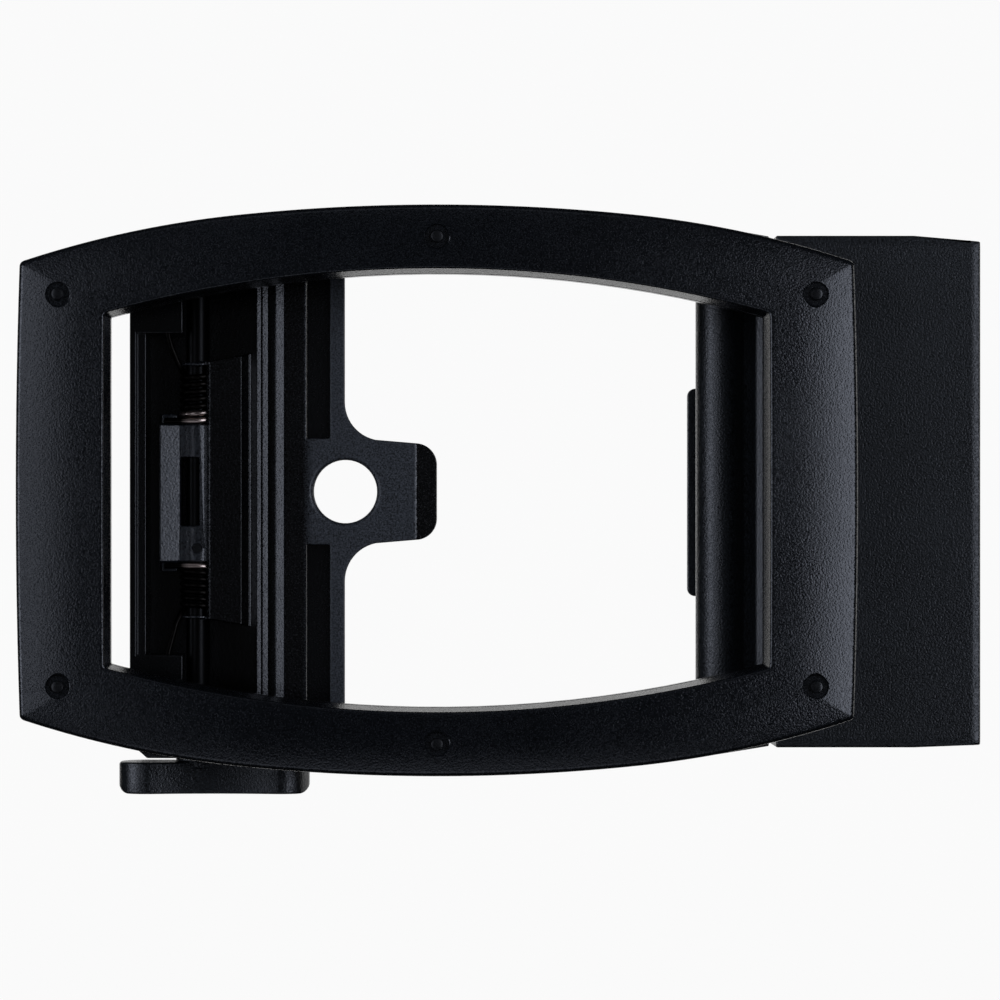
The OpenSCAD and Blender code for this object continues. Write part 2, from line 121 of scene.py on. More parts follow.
def finishOf(name, look):
    material = bpy.data.materials.new(name)
    material.use_nodes = True
    tree = material.node_tree
    tree.nodes.clear()
    place = addNode(tree, "ShaderNodeTexCoord").outputs["Object"]
    grain = addNode(tree, "ShaderNodeTexNoise", {}, {
        "Vector": place, "Scale": 1 / (look["grain"] * mm), "Detail": 1.0, "Roughness": 0.4})
    pits = addNode(tree, "ShaderNodeTexVoronoi", {}, {"Vector": place, "Scale": 1 / (look["pit"] * mm)})
    cloud = addNode(tree, "ShaderNodeTexNoise", {}, {
        "Vector": place, "Scale": 1 / (look["cloud"] * mm), "Detail": 2.0, "Roughness": 0.5})
    share, (shareLow, shareHigh) = cloud.outputs["Fac"], noiseSpan
    if "paintedLightSpan" in look:  # painted lighter inside this span as painted light, and darker outside it as painted shade: where the span begins and ends along X, in mm
        along = addNode(tree, "ShaderNodeSeparateXYZ", {}, {"Vector": place}).outputs["X"]
        rise, fall = [addNode(tree, "ShaderNodeMapRange", {}, {
            "Value": along, "From Min": a * mm, "From Max": b * mm}) for a, b in look["paintedLightSpan"]]
        share = addNode(tree, "ShaderNodeMath", {"operation": "SUBTRACT"}, {
            0: rise.outputs["Result"], 1: fall.outputs["Result"]}).outputs[0]
        shareLow, shareHigh = 0, 1
    tone = addNode(tree, "ShaderNodeMix", {"data_type": "RGBA"}, {
        "Factor": share, "A": toLinear(look["dark"]), "B": toLinear(look["light"])})
    speckle = addNode(tree, "ShaderNodeMapRange", {}, {
        "Value": grain.outputs["Fac"], "From Min": noiseSpan[0], "From Max": noiseSpan[1],
        "To Min": 1 - look["speckle"], "To Max": 1 + look["speckle"]})
    colour = addNode(tree, "ShaderNodeMix", {"data_type": "RGBA", "blend_type": "MULTIPLY"}, {
        "Factor": 1.0, "A": tone.outputs["Result"], "B": speckle.outputs["Result"]})
    result = colour.outputs["Result"]
    if "rubbed" in look:
        worn = addNode(tree, "ShaderNodeAttribute", {"attribute_name": "worn"})
        result = addNode(tree, "ShaderNodeMix", {"data_type": "RGBA"}, {
            "Factor": worn.outputs["Fac"], "A": result, "B": toLinear(look["rubbed"])}).outputs["Result"]
    rough = addNode(tree, "ShaderNodeMapRange", {}, {
        "Value": share, "From Min": shareLow, "From Max": shareHigh,
        "To Min": look["rough"][0], "To Max": look["rough"][1]})
    uneven = addNode(tree, "ShaderNodeMapRange", {}, {
        "Value": grain.outputs["Fac"], "From Min": noiseSpan[0], "From Max": noiseSpan[1],
        "To Min": -look["uneven"], "To Max": look["uneven"]})
    gloss = addNode(tree, "ShaderNodeMath", {"operation": "ADD"}, {
        0: rough.outputs["Result"], 1: uneven.outputs["Result"]})
    relief = addNode(tree, "ShaderNodeMix", {"data_type": "FLOAT"}, {
        "Factor": look["pitShare"], "A": grain.outputs["Fac"], "B": pits.outputs["Distance"]})
    bump = addNode(tree, "ShaderNodeBump", {}, {
        "Height": relief.outputs["Result"], "Strength": look["strength"], "Distance": look["depth"] * mm})
    shader = addNode(tree, "ShaderNodeBsdfPrincipled", {}, {
        "Base Color": result, "Roughness": gloss.outputs[0],
        "Normal": bump.outputs["Normal"], "Metallic": look["metallic"]})
    if look["metallic"] == 0:
        shader.inputs["IOR"].default_value = look["ior"]
    addNode(tree, "ShaderNodeOutputMaterial", {}, {"Surface": shader.outputs["BSDF"]})
    return material


# Baked black enamel over a bead-blasted zinc casting: the blast shows through as a fine pebble.
# The beads leave 0.06 mm dents, drawn at 0.12 mm so that they show
bezelPaint = finishOf("bakedEnamelOnBlastedZinc", {
    "dark": "#0d0f12", "light": "#14171b", "cloud": 9, "rough": (0.22, 0.26), "uneven": 0.07, "speckle": 0.5,
    "grain": 0.12, "pit": 0.17, "pitShare": 0.3, "depth": 0.022, "strength": 1, "metallic": 0, "ior": 1.5})

# Thinner black electrocoat on the cast frame and rails: darker, smoother and more even than the bezel
chassisPaint = finishOf("blackElectrocoat", {
    "dark": "#040405", "light": "#070809", "cloud": 6, "rough": (0.22, 0.26), "uneven": 0.04, "speckle": 0.4,
    "grain": 0.12, "pit": 0.2, "pitShare": 0.2, "depth": 0.01, "strength": 1, "metallic": 0, "ior": 1.5})

# The same coat, tumbled matt on the extruded bar: a low IOR keeps its beads to a soft shine
barPaint = finishOf("mattElectrocoat", {
    "dark": "#0e0f11", "light": "#181a1d", "cloud": 4, "rough": (0.24, 0.3), "uneven": 0.07, "speckle": 0.6,
    "grain": 0.12, "pit": 0.17, "pitShare": 0.3, "depth": 0.02, "strength": 1, "metallic": 0, "ior": 1.43})

# Black phosphate on the pressed guide plate: matt, with its middle painted a lighter grey as painted light, and
# painted shade darkening the strip beside the bar and the bent tip
platePaint = finishOf("blackPhosphate", {
    "dark": "#070708", "light": "#35383c", "paintedLightSpan": ((-10.4, -9.6), (-1.75, -1.55)), "cloud": 5,
    "rough": (0.22, 0.44), "uneven": 0.09, "speckle": 0.8,
    "grain": 0.13, "pit": 0.17, "pitShare": 0.4, "depth": 0.03, "strength": 1, "metallic": 0, "ior": 1.5})

# Black enamel on the sintered pawl, with a coarser pebble: painted shade darkens its block, and its knuckle is
# painted a lighter grey as painted light
ratchetPaint = finishOf("blackEnamelOnSinteredSteel", {
    "dark": "#060607", "light": "#202327", "paintedLightSpan": ((-23, -22), (-18.4, -17.4)), "cloud": 5,
    "rough": (0.22, 0.34), "uneven": 0.07, "speckle": 0.8,
    "grain": 0.14, "pit": 0.2, "pitShare": 0.45, "depth": 0.026, "strength": 1, "metallic": 0, "ior": 1.5})

# Black powder coat on the clamp and lever: the sprayed grains melt into an open, matt orange-peel grain
clampPaint = finishOf("blackPowderCoat", {
    "dark": "#0f1214", "light": "#171b1e", "cloud": 8, "rough": (0.36, 0.4), "uneven": 0.1, "speckle": 0.7,
    "grain": 0.14, "pit": 0.18, "pitShare": 0.3, "depth": 0.035, "strength": 1, "metallic": 0, "ior": 1.5})

# Black-oxide steel on rivets and screws: satin, with turning marks too fine to see
blackSteel = finishOf("blackOxideSteel", {
    "dark": "#0b0c0d", "light": "#131416", "cloud": 3, "rough": (0.27, 0.33), "uneven": 0.03, "speckle": 0.4,
    "grain": 0.12, "pit": 0.3, "pitShare": 0.1, "depth": 0.008, "strength": 0.25, "metallic": 0, "ior": 1.5})

# The shaft is painted near black with a faint shine: painted shade, where the housing's top bar shades it
shaftPaintedShade = finishOf("shaftPaintedShadeBlack", {
    "dark": "#020202", "light": "#050505", "cloud": 3, "rough": (0.3, 0.4), "uneven": 0.03, "speckle": 0.4,
    "grain": 0.12, "pit": 0.3, "pitShare": 0.1, "depth": 0.008, "strength": 0.25, "metallic": 0, "ior": 1.18})

# Drawn steel of the hinge pins: warm grey metal
brightSteel = finishOf("drawnSteel", {
    "dark": "#8c837c", "light": "#b9aea6", "cloud": 1.5,
    "rough": (0.26, 0.36), "uneven": 0.03, "speckle": 0.5,
    "grain": 0.1, "pit": 0.3, "pitShare": 0.1, "depth": 0.006, "strength": 0.2, "metallic": 1})

# Oil-tempered spring wire: brown-black scale, rubbed to bare metal where the leg bears on the pawl
springWire = finishOf("oilTemperedWire", {
    "dark": "#100f0e", "light": "#1a1816", "rubbed": "#c9b7ac", "cloud": 1,
    "rough": (0.3, 0.4), "uneven": 0.03, "speckle": 0.5,
    "grain": 0.1, "pit": 0.3, "pitShare": 0.1, "depth": 0.006, "strength": 0.2, "metallic": 1})
print("finishes made")


# Copies of CAD nodes with their edges rounded

def rollFront(mesh, roll):
    # Lets a flat front fall away to its edges. Each edge is a point and its outward direction, in x and z
    near = 0.001  # how closely a point has to lie on the front
    work = bmesh.new()
    work.from_mesh(mesh)
    width, drop = roll["width"], roll["drop"]
    for x, z, outX, outZ in roll["edges"]:
        for i in range(1, roll["steps"] + 1):
            back = width * i / roll["steps"]
            bmesh.ops.bisect_plane(
                work, geom=work.verts[:] + work.edges[:] + work.faces[:], dist=1e-7,
                plane_co=Vector((x - outX * back, 0, z - outZ * back)) * mm, plane_no=(outX, 0, outZ))
    for vert in work.verts:
        if abs(vert.co.y / mm - roll["front"]) < near:
            for x, z, outX, outZ in roll["edges"]:
                inside = (x - vert.co.x / mm) * outX + (z - vert.co.z / mm) * outZ
                vert.co.y += drop * max(0, 1 - max(inside, 0) / width) ** 2 * mm
    work.to_mesh(mesh)
    work.free()


rounding = {"mergeWithin": 0.001, "flatUpTo": 0.6, "sharpFrom": 28, "smoothUpTo": 34}  # mm, then degrees


def roundedPiece(name, node, body, slotName, material, edges):
    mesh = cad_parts[node].data.copy()
    widest = max([edges["round"]] + [own for _, _, own in edges.get("where", ())])
    work = bmesh.new()
    work.from_mesh(mesh)
    bmesh.ops.remove_doubles(work, verts=work.verts, dist=rounding["mergeWithin"] * mm)
    flat = math.radians(rounding["flatUpTo"])
    bmesh.ops.dissolve_limit(work, angle_limit=flat, verts=work.verts, edges=work.edges)
    weights = work.edges.layers.float.new("bevel_weight_edge")
    for edge in work.edges:
        if len(edge.link_faces) == 2 and edge.calc_face_angle(0) > math.radians(rounding["sharpFrom"]):
            middle = (edge.verts[0].co + edge.verts[1].co) / 2 / mm
            radius = edges["round"]
            for low, high, own in edges.get("where", ()):
                if all(a <= m <= b for a, m, b in zip(low, middle, high)):
                    radius = own
            edge[weights] = radius / widest
    work.to_mesh(mesh)
    work.free()
    piece = addObject(name, mesh)
    paintWith(piece, material)
    if "rolled" in edges:
        rollFront(mesh, edges["rolled"])
    bevel = piece.modifiers.new("roundedEdges", "BEVEL")
    bevel.limit_method = "WEIGHT"
    bevel.width = widest * mm
    bevel.segments = edges.get("segments", 3)
    bevel.use_clamp_overlap = False
    bakeModifiers(piece)
    outwardNormals(piece.data)
    smoothUpTo(piece.data, rounding["smoothUpTo"])
    even = piece.modifiers.new("evenShading", "WEIGHTED_NORMAL")
    even.keep_sharp = True
    return settle(piece, body, slotName, node)


# The bezel: a barrel-shaped ring, crowned and bent round the waist

bezel = {
    "width": 63.7, "height": 43.2, "thickness": 2.6,
    "depth": 6.8,  # from the crest of the front to the middle of the strap passage
    "windowWidth": 50.2, "windowHeight": 33.4,
    "draft": 0.27,  # how far the window closes in towards its rear
    "longEdgeRadius": 150, "endRadius": 79, "endStart": 15, "sideRadius": 740, "windowRadius": 96.5,
    "bendRadius": 300, "crownRadius": 160,
    "outerRound": 0.42, "innerRound": 0.22, "cornerRound": 0.35,
    "rearRound": 0.08, "rearInnerRound": 0.06,
    "rollOff": 0.26, "rollOffWidth": 0.75,  # how far the outer edge falls away, over this share of each bar
    "longSteps": 120, "sideSteps": 70, "acrossSteps": 14, "outerRoundSteps": 6, "innerRoundSteps": 4,
    "cornerSteps": 6, "smoothUpTo": 30,
}
rivets = {
    "places": [(x, z) for x in (-28.7, 28.7) for z in (-14.85, 14.85)] + [(0, -19.15), (0, 19.15)],
    "pinRadius": 0.48, "boreRadius": 0.93, "boreDepth": 0.45, "boreRound": 0.06, "lip": 0.1, "sunk": 0.12,
    "headRadius": 0.95, "headHeight": 0.35, "sides": 48, "boreSides": 64,
    "rearGap": 2.9,  # how much shorter each rivet is than the bezel's depth
}
bendAxis = bezel["bendRadius"] - bezel["depth"]
rearDepth = bezel["depth"] - bezel["thickness"]


def faceDepth(x, z):
    ring = bezel["bendRadius"] - bezel["crownRadius"] + math.sqrt(bezel["crownRadius"] ** 2 - z * z)
    return bendAxis - math.sqrt(ring ** 2 - x * x)


def outerTop(x, inset):
    middle, end, start = bezel["longEdgeRadius"], bezel["endRadius"], bezel["endStart"]
    turn = math.asin(start / middle)
    if abs(x) <= start:
        return bezel["height"] / 2 - middle + math.sqrt((middle - inset) ** 2 - x * x)
    endX = start - end * math.sin(turn)
    endZ = bezel["height"] / 2 - middle * (1 - math.cos(turn)) - end * math.cos(turn)
    return endZ + math.sqrt((end - inset) ** 2 - (abs(x) - endX) ** 2)


def outerSide(z, inset):
    return bezel["width"] / 2 - bezel["sideRadius"] + math.sqrt((bezel["sideRadius"] - inset) ** 2 - z * z)


def innerTop(x, inset):
    radius = bezel["windowRadius"] + inset
    return bezel["windowHeight"] / 2 - bezel["windowRadius"] + math.sqrt(radius ** 2 - x * x)


def innerSide(z, inset):
    return bezel["windowWidth"] / 2 + inset


def ringOutline(top, side, inset):
    cornerX = side(0, inset)
    for _ in range(12):  # closes in on where the two edges meet
        cornerZ = top(cornerX, inset)
        cornerX = side(cornerZ, inset)
    cut = max(bezel["cornerRound"] - abs(inset) * 0.5, 0.1)  # tighter further in, but never sharp
    endX, endZ = cornerX - cut, cornerZ - cut
    quarter = []  # from the middle of the right side to the middle of the top
    half = bezel["sideSteps"] // 2
    quarter += [(side(endZ * i / half, inset), endZ * i / half) for i in range(half + 1)]
    a, b = Vector(quarter[-1]), Vector((endX, top(endX, inset)))
    corner = Vector((cornerX, cornerZ))
    for i in range(1, bezel["cornerSteps"]):
        t = i / bezel["cornerSteps"]
        quarter.append(tuple(a * (1 - t) ** 2 + corner * 2 * t * (1 - t) + b * t * t))
    half = bezel["longSteps"] // 2
    quarter += [(endX * (1 - i / half), top(endX * (1 - i / half), inset)) for i in range(half + 1)]
    mirrored = [(-x, z) for x, z in reversed(quarter[:-1])]
    upper = quarter + mirrored
    return upper + [(x, -z) for x, z in reversed(upper[1:-1])]


def bezelRings():
    # Each ring: its outline, its share of the way to the rear face, and how far it is set back
    outer = lambda inset: ringOutline(outerTop, outerSide, inset)
    inner = lambda inset: ringOutline(innerTop, innerSide, inset)
    drop = lambda t: bezel["rollOff"] * max(0, 1 - t / bezel["rollOffWidth"]) ** 2
    between = lambda a, b, t: [(p[0] + (q[0] - p[0]) * t, p[1] + (q[1] - p[1]) * t) for p, q in zip(a, b)]
    r, s, draft = bezel["outerRound"], bezel["innerRound"], bezel["draft"]
    rear, rearInner = bezel["rearRound"], bezel["rearInnerRound"]
    rings = [(outer(rear), 1, 0), (outer(0), 1, -rear)]
    steps = bezel["outerRoundSteps"]
    for i in range(steps + 1):
        a = math.pi / 2 * i / steps
        rings.append((outer(r * (1 - math.cos(a))), 0, r * (1 - math.sin(a)) + drop(0)))
    steps = bezel["acrossSteps"]
    for t in [0.02] + [i / steps for i in range(1, steps)] + [0.985]:  # the end rings hold the rounded edges
        rings.append((between(outer(r), inner(s), t), 0, drop(t)))
    steps = bezel["innerRoundSteps"]
    for i in range(steps + 1):
        a = math.pi / 2 * (1 - i / steps)
        rings.append((inner(s * (1 - math.cos(a))), 0, s * (1 - math.sin(a))))
    rings += [(inner(-draft), 1, -rearInner), (inner(rearInner - draft), 1, 0)]
    rings += [(between(inner(rearInner - draft), outer(rear), t), 1, 0) for t in (0.25, 0.5, 0.75)]
    return rings


def startTree(name, inputs):
    # A Geometry Nodes tree with its named inputs. Each has a Finish too
    tree = bpy.data.node_groups.new(name, "GeometryNodeTree")
    tree.interface.new_socket("Geometry", in_out="INPUT", socket_type="NodeSocketGeometry")
    for key, kind in {**inputs, "Finish": "Material"}.items():
        tree.interface.new_socket(key, in_out="INPUT", socket_type="NodeSocket" + kind)
    tree.interface.new_socket("Geometry", in_out="OUTPUT", socket_type="NodeSocketGeometry")
    return tree, addNode(tree, "NodeGroupInput").outputs


def finishTree(tree, given, geometry):
    real = addNode(tree, "GeometryNodeRealizeInstances", {}, {"Geometry": geometry}).outputs["Geometry"]
    done = addNode(tree, "GeometryNodeSetMaterial", {}, {"Geometry": real, "Material": given["Finish"]})
    addNode(tree, "NodeGroupOutput", {}, {"Geometry": done.outputs["Geometry"]})


def crownTree():
    tree, given = startTree("crownAndBend", {
        "Bend axis": "Float", "Bend radius": "Float", "Crown radius": "Float", "Rear radius": "Float"})
    place = addNode(tree, "ShaderNodeSeparateXYZ", {}, {
        "Vector": addNode(tree, "GeometryNodeInputPosition").outputs["Position"]}).outputs

    def worked(kind, a, b=None):
        values = {0: a} if b is None else {0: a, 1: b}
        return addNode(tree, "ShaderNodeMath", {"operation": kind}, values).outputs[0]

    def otherLeg(long, short):  # the other short side of a right triangle
        squares = worked("MULTIPLY", long, long), worked("MULTIPLY", short, short)
        return worked("SQRT", worked("SUBTRACT", *squares))

    toCrown = worked("SUBTRACT", given["Bend radius"], given["Crown radius"])
    crown = worked("ADD", toCrown, otherLeg(given["Crown radius"], place["Z"]))
    front = worked("SUBTRACT", given["Bend axis"], otherLeg(crown, place["X"]))
    rear = worked("SUBTRACT", given["Bend axis"], otherLeg(given["Rear radius"], place["X"]))
    share, setBack = [addNode(tree, "GeometryNodeInputNamedAttribute", {"data_type": "FLOAT"}, {
        "Name": name}).outputs["Attribute"] for name in ("rearShare", "setBack")]
    depth = worked("ADD", front, worked("MULTIPLY", share, worked("SUBTRACT", rear, front)))
    moved = addNode(tree, "ShaderNodeCombineXYZ", {}, {
        "X": place["X"], "Y": worked("ADD", depth, setBack), "Z": place["Z"]})
    bent = addNode(tree, "GeometryNodeSetPosition", {}, {
        "Geometry": given["Geometry"], "Position": moved.outputs["Vector"]})
    finishTree(tree, given, bent.outputs["Geometry"])
    return tree


def runTree(piece, tree, values):
    modifier = piece.modifiers.new(tree.name, "NODES")
    modifier.node_group = tree
    for item in tree.interface.items_tree:
        if item.in_out == "INPUT" and item.name in values:
            modifier[item.identifier] = values[item.name]
    return bakeModifiers(piece)


def turnedMesh(name, profile, steps):
    # A turned part about the Y axis, from a list of (radius, y) that starts and ends on the axis
    points, faces, rows = [], [], []
    for radius, y in profile:
        count = 1 if radius == 0 else steps
        rows.append(list(range(len(points), len(points) + count)))
        points += [(radius * math.cos(2 * math.pi * k / steps), y, radius * math.sin(2 * math.pi * k / steps))
                   for k in range(count)]
    for a, b in zip(rows, rows[1:]):
        for k in range(steps):
            n = (k + 1) % steps
            face = [a[k % len(a)], a[n % len(a)], b[n % len(b)], b[k % len(b)]]
            faces.append(list(dict.fromkeys(face)))
    mesh = meshFrom(name, points, faces)
    outwardNormals(mesh)
    return mesh


def makeBezel():
    rings = bezelRings()
    count = len(rings[0][0])
    points = [(x, 0, z) for outline, _, _ in rings for x, z in outline]
    faces = []
    for r in range(len(rings)):
        here, there = r * count, (r + 1) % len(rings) * count
        nexts = [(i + 1) % count for i in range(count)]
        faces += [(here + i, here + n, there + n, there + i) for i, n in enumerate(nexts)]
    mesh = bpy.data.meshes.new("bezel")
    mesh.from_pydata([tuple(c * mm for c in p) for p in points], [], faces)
    for key, index, scale in (("rearShare", 1, 1), ("setBack", 2, mm)):
        values = mesh.attributes.new(key, "FLOAT", "POINT").data
        values.foreach_set("value", [ring[index] * scale for ring in rings for _ in range(count)])
    piece = addObject("bezel", mesh)
    runTree(piece, crownTree(), {
        "Bend axis": bendAxis * mm, "Bend radius": bezel["bendRadius"] * mm, "Finish": bezelPaint,
        "Crown radius": bezel["crownRadius"] * mm, "Rear radius": (bendAxis + rearDepth) * mm})
    outwardNormals(piece.data)
    bore, depth, lip, corner = [rivets[key] for key in ("boreRadius", "boreDepth", "lip", "boreRound")]
    mouth, ahead = bore + lip * 1.4, 1  # the cutter's rounded mouth, and how far it starts ahead of the face
    cutter = turnedMesh("rivetBore", [
        (0, depth), (bore - corner, depth), (bore, depth - corner), (bore, lip), (bore + lip * 0.2, lip * 0.45),
        (bore + lip * 0.7, lip * 0.1), (mouth, -0.05), (mouth, -ahead), (0, -ahead)], rivets["boreSides"])
    work = bmesh.new()
    for x, z in rivets["places"]:
        start = len(work.verts)
        work.from_mesh(cutter)
        work.verts.ensure_lookup_table()
        bmesh.ops.translate(work, verts=work.verts[start:], vec=Vector((x, faceDepth(x, z), z)) * mm)
    work.to_mesh(cutter)
    work.free()
    cutterPiece = addObject("rivetBores", cutter)
    cut = piece.modifiers.new("rivetBores", "BOOLEAN")
    cut.object, cut.solver = cutterPiece, "EXACT"
    bakeModifiers(piece)
    bpy.data.objects.remove(cutterPiece)
    for key in ("rearShare", "setBack"):
        if key in piece.data.attributes:
            piece.data.attributes.remove(piece.data.attributes[key])
    smoothUpTo(piece.data, bezel["smoothUpTo"])
    paintWith(piece, bezelPaint)
    return settle(piece, "frame", "bezel_paint", "front_bezel")


bezelPiece = makeBezel()
print("bezel made:", len(bezelPiece.data.polygons), "faces")


# What repeats: rivets and screws set on points by one tree

def repeatTree():
    tree, given = startTree("setOnPoints", {"Part": "Object", "Turn spread": "Float", "Seed": "Int"})
    part = addNode(tree, "GeometryNodeObjectInfo", {}, {"Object": given["Part"]}).outputs["Geometry"]
    spread = addNode(tree, "FunctionNodeRandomValue", {"data_type": "FLOAT"}, {"Seed": given["Seed"]})
    angle = addNode(tree, "ShaderNodeMath", {"operation": "MULTIPLY"}, {
        0: spread.outputs["Value"], 1: given["Turn spread"]})
    turn = addNode(tree, "ShaderNodeCombineXYZ", {}, {"Y": angle.outputs[0]})
    placed = addNode(tree, "GeometryNodeInstanceOnPoints", {}, {
        "Points": given["Geometry"], "Instance": part, "Rotation": turn.outputs["Vector"]})
    finishTree(tree, given, placed.outputs["Instances"])
    return tree


setOnPoints = repeatTree()


def repeated(name, partMesh, places, material, turnSpread=0.0, seed=1):
    part = addObject(name + "Part", partMesh)
    piece = addObject(name, meshFrom(name, places, []))
    runTree(piece, setOnPoints, {"Part": part, "Turn spread": turnSpread, "Seed": seed, "Finish": material})
    bpy.data.objects.remove(part)
    smoothUpTo(piece.data, 32)
    return piece


def cutWith(mesh, boxes):
    # A copy of a mesh with boxes (centre, size, turn about Y in degrees) cut out of it
    work = bmesh.new()
    for centre, size, turn in boxes:
        place = Matrix.Translation(Vector(centre) * mm) @ Matrix.Rotation(math.radians(turn), 4, "Y")
        bmesh.ops.create_cube(work, size=1, matrix=place @ Matrix.Diagonal(Vector(size) * mm).to_4x4())
    cutterMesh = bpy.data.meshes.new("cutter")
    work.to_mesh(cutterMesh)
    work.free()
    target, cutter = addObject("target", mesh), addObject("cutter", cutterMesh)
    cut = target.modifiers.new("cut", "BOOLEAN")
    cut.object, cut.solver, cut.use_self = cutter, "EXACT", True
    bakeModifiers(target)
    made = target.data
    bpy.data.objects.remove(target)
    bpy.data.objects.remove(cutter)
    return made


def rivetPart():
    # From its domed front end to its upset rear head
    pin, head = rivets["pinRadius"], rivets["headRadius"]
    end = bezel["thickness"] + rearDepth - rivets["rearGap"]
    under = end - rivets["headHeight"]
    return turnedMesh("rivet", [
        (0, 0), (pin - 0.16, 0.005), (pin - 0.06, 0.03), (pin, 0.1), (pin, under),
        (head - 0.06, under), (head, under + 0.06), (head, end - 0.12),
        (head - 0.08, end - 0.03), (head - 0.25, end), (0, end)], rivets["sides"])


frontRivets = repeated("bezelRivets", rivetPart(), [
    (x, faceDepth(x, z) + rivets["sunk"], z) for x, z in rivets["places"]], blackSteel)
settle(frontRivets, "frame", "black_steel", "bezel_rivets")
print("rivets set:", len(rivets["places"]))

coverScrews = {
    "places": [(x, 10.2, z) for x in (-21.6, -11.8) for z in (-15.3, 15.3)],
    "headRadius": 1.4, "headHeight": 0.6, "shankRadius": 0.8, "length": 4.0, "sides": 48,
    "crossLength": 1.6, "crossWidth": 0.35, "crossDepth": 0.35, "turnSpread": 1.4,
}


def coverScrewPart():
    head, high, shank = coverScrews["headRadius"], coverScrews["headHeight"], coverScrews["shankRadius"]
    length = coverScrews["length"]
    body = turnedMesh("coverScrew", [
        (0, 0), (head - 0.3, -0.015), (head - 0.1, -0.06), (head - 0.02, -0.14), (head, -0.3), (head, -high),
        (shank, -high), (shank, -length + 0.25), (shank - 0.2, -length), (0, -length)], coverScrews["sides"])
    cross = (coverScrews["crossLength"], 2 * coverScrews["crossDepth"], coverScrews["crossWidth"])
    return cutWith(body, [((0, 0, 0), cross, 0), ((0, 0, 0), cross, 90)])


screws = repeated(
    "coverScrews", coverScrewPart(), coverScrews["places"], blackSteel, coverScrews["turnSpread"], seed=3)
settle(screws, "frame", "black_steel", "cover_screws")

plateRivets = {"places": [(-10.95, 3.1, z) for z in (-13, 0, 13)], "radius": 0.4, "length": 2.9, "sides": 32}
plateRivetPart = turnedMesh("plateRivet", [
    (0, 0), (plateRivets["radius"], 0), (plateRivets["radius"], plateRivets["length"]),
    (0, plateRivets["length"])], plateRivets["sides"])
flushRivets = repeated("guidePlateRivets", plateRivetPart, plateRivets["places"], platePaint)
settle(flushRivets, "frame", "black_steel", "guide_plate_rivets")

grubScrews = {
    "places": [(33.9, 10.1, -9.5), (33.9, 10.1, 9.5)], "radius": 1.25, "length": 1.5, "sides": 48,
    "key": 0.72, "keyDepth": 0.9, "turnSpread": 0.9,  # key: from the middle to a flat of the hexagon
}


def grubScrewPart():
    radius, length = grubScrews["radius"], grubScrews["length"]
    body = turnedMesh("grubScrew", [
        (0, 0), (radius - 0.12, 0), (radius, -0.12), (radius, -length + 0.2), (radius - 0.2, -length),
        (0, -length)], grubScrews["sides"])
    key = grubScrews["key"]
    flat = (2 * key * math.tan(math.pi / 6), 2 * grubScrews["keyDepth"], 2 * key)
    return cutWith(body, [((0, 0, 0), flat, turn) for turn in (0, 60, 120)])


doorScrews = repeated(
    "grubScrews", grubScrewPart(), grubScrews["places"], blackSteel, grubScrews["turnSpread"], seed=5)
settle(doorScrews, "door", "black_steel", "door_grub_screws")
print("screws set")


# Torsion springs: round wire along a path, by one tree

springs = {
    "axis": (-18.6, 4.4), "coilRadius": 1.2, "wire": 0.45, "turns": 7, "leg": 2.5,
    "ends": [(-5.75, -9.2), (5.5, 9.3)],  # where each coil begins at the pawl, and where it ends
    "anchor": (-20.9, 3.6), "blocks": (12.7, 12.3),  # where the far legs hook in, and how far off the blocks are
    "brightTurns": (0.1, 0.9), "fadeTurns": 0.6,  # how much of each coil is rubbed bright, and how that fades
    "stepsPerTurn": 28, "wireSides": 16, "smoothUpTo": 40,
}


def wireTree():
    tree, given = startTree("wireAlongPath", {"Wire radius": "Float", "Sides": "Int"})
    path = addNode(tree, "GeometryNodeMeshToCurve", {}, {"Mesh": given["Geometry"]}).outputs["Curve"]
    section = addNode(tree, "GeometryNodeCurvePrimitiveCircle", {}, {
        "Resolution": given["Sides"], "Radius": given["Wire radius"]}).outputs["Curve"]
    tube = addNode(tree, "GeometryNodeCurveToMesh", {}, {
        "Curve": path, "Profile Curve": section, "Fill Caps": True})
    finishTree(tree, given, tube.outputs["Mesh"])
    return tree


wireAlongPath = wireTree()


def springPath(side):
    axisX, axisY = springs["axis"]
    start, end = springs["ends"][side]
    way = 1 if start > 0 else -1
    coil = springs["coilRadius"]
    steps = springs["stepsPerTurn"] * springs["turns"]
    sweep = 2 * math.pi * springs["turns"] - math.pi / 2
    anchorX, anchorY = springs["anchor"]
    path = [(axisX - t * springs["leg"], axisY - coil, start) for t in (1, 0.75, 0.5, 0.25)]
    for i in range(steps + 1):
        a, along = -math.pi / 2 + sweep * i / steps, start + (end - start) * i / steps
        path.append((axisX + coil * math.cos(a), axisY + coil * math.sin(a), along))
    for right, behind, rise in ((1.06, 0.5, 0.2), (0.92, 0.25, 0.5), (0.67, 0.1, 1)):  # leaves the coil
        path.append((anchorX + right, anchorY + behind, end + way * rise))
    for right, rise in ((0.3, -1.1), (0.1, -0.4), (0, 0.3), (-0.03, 0.8)):  # and hooks in behind its block
        path.append((anchorX + right, anchorY, way * (springs["blocks"][side] + rise)))
    return path


def makeSpring(name, side, node):
    path = springPath(side)
    piece = addObject(name, meshFrom(name, path, [], [(i, i + 1) for i in range(len(path) - 1)]))
    worn = piece.data.attributes.new("worn", "FLOAT", "POINT").data
    bright = springs["brightTurns"][side] * springs["stepsPerTurn"]
    fade = springs["fadeTurns"] * springs["stepsPerTurn"]
    legPoints = 2  # the leg's end stays dark
    worn.foreach_set("value", [
        min(1, max(0, (bright - i) / fade + 1)) * (i > legPoints) for i in range(len(path))])
    runTree(piece, wireAlongPath, {
        "Wire radius": springs["wire"] / 2 * mm, "Sides": springs["wireSides"], "Finish": springWire})
    outwardNormals(piece.data)
    smoothUpTo(piece.data, springs["smoothUpTo"])
    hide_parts(node)
    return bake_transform(piece)


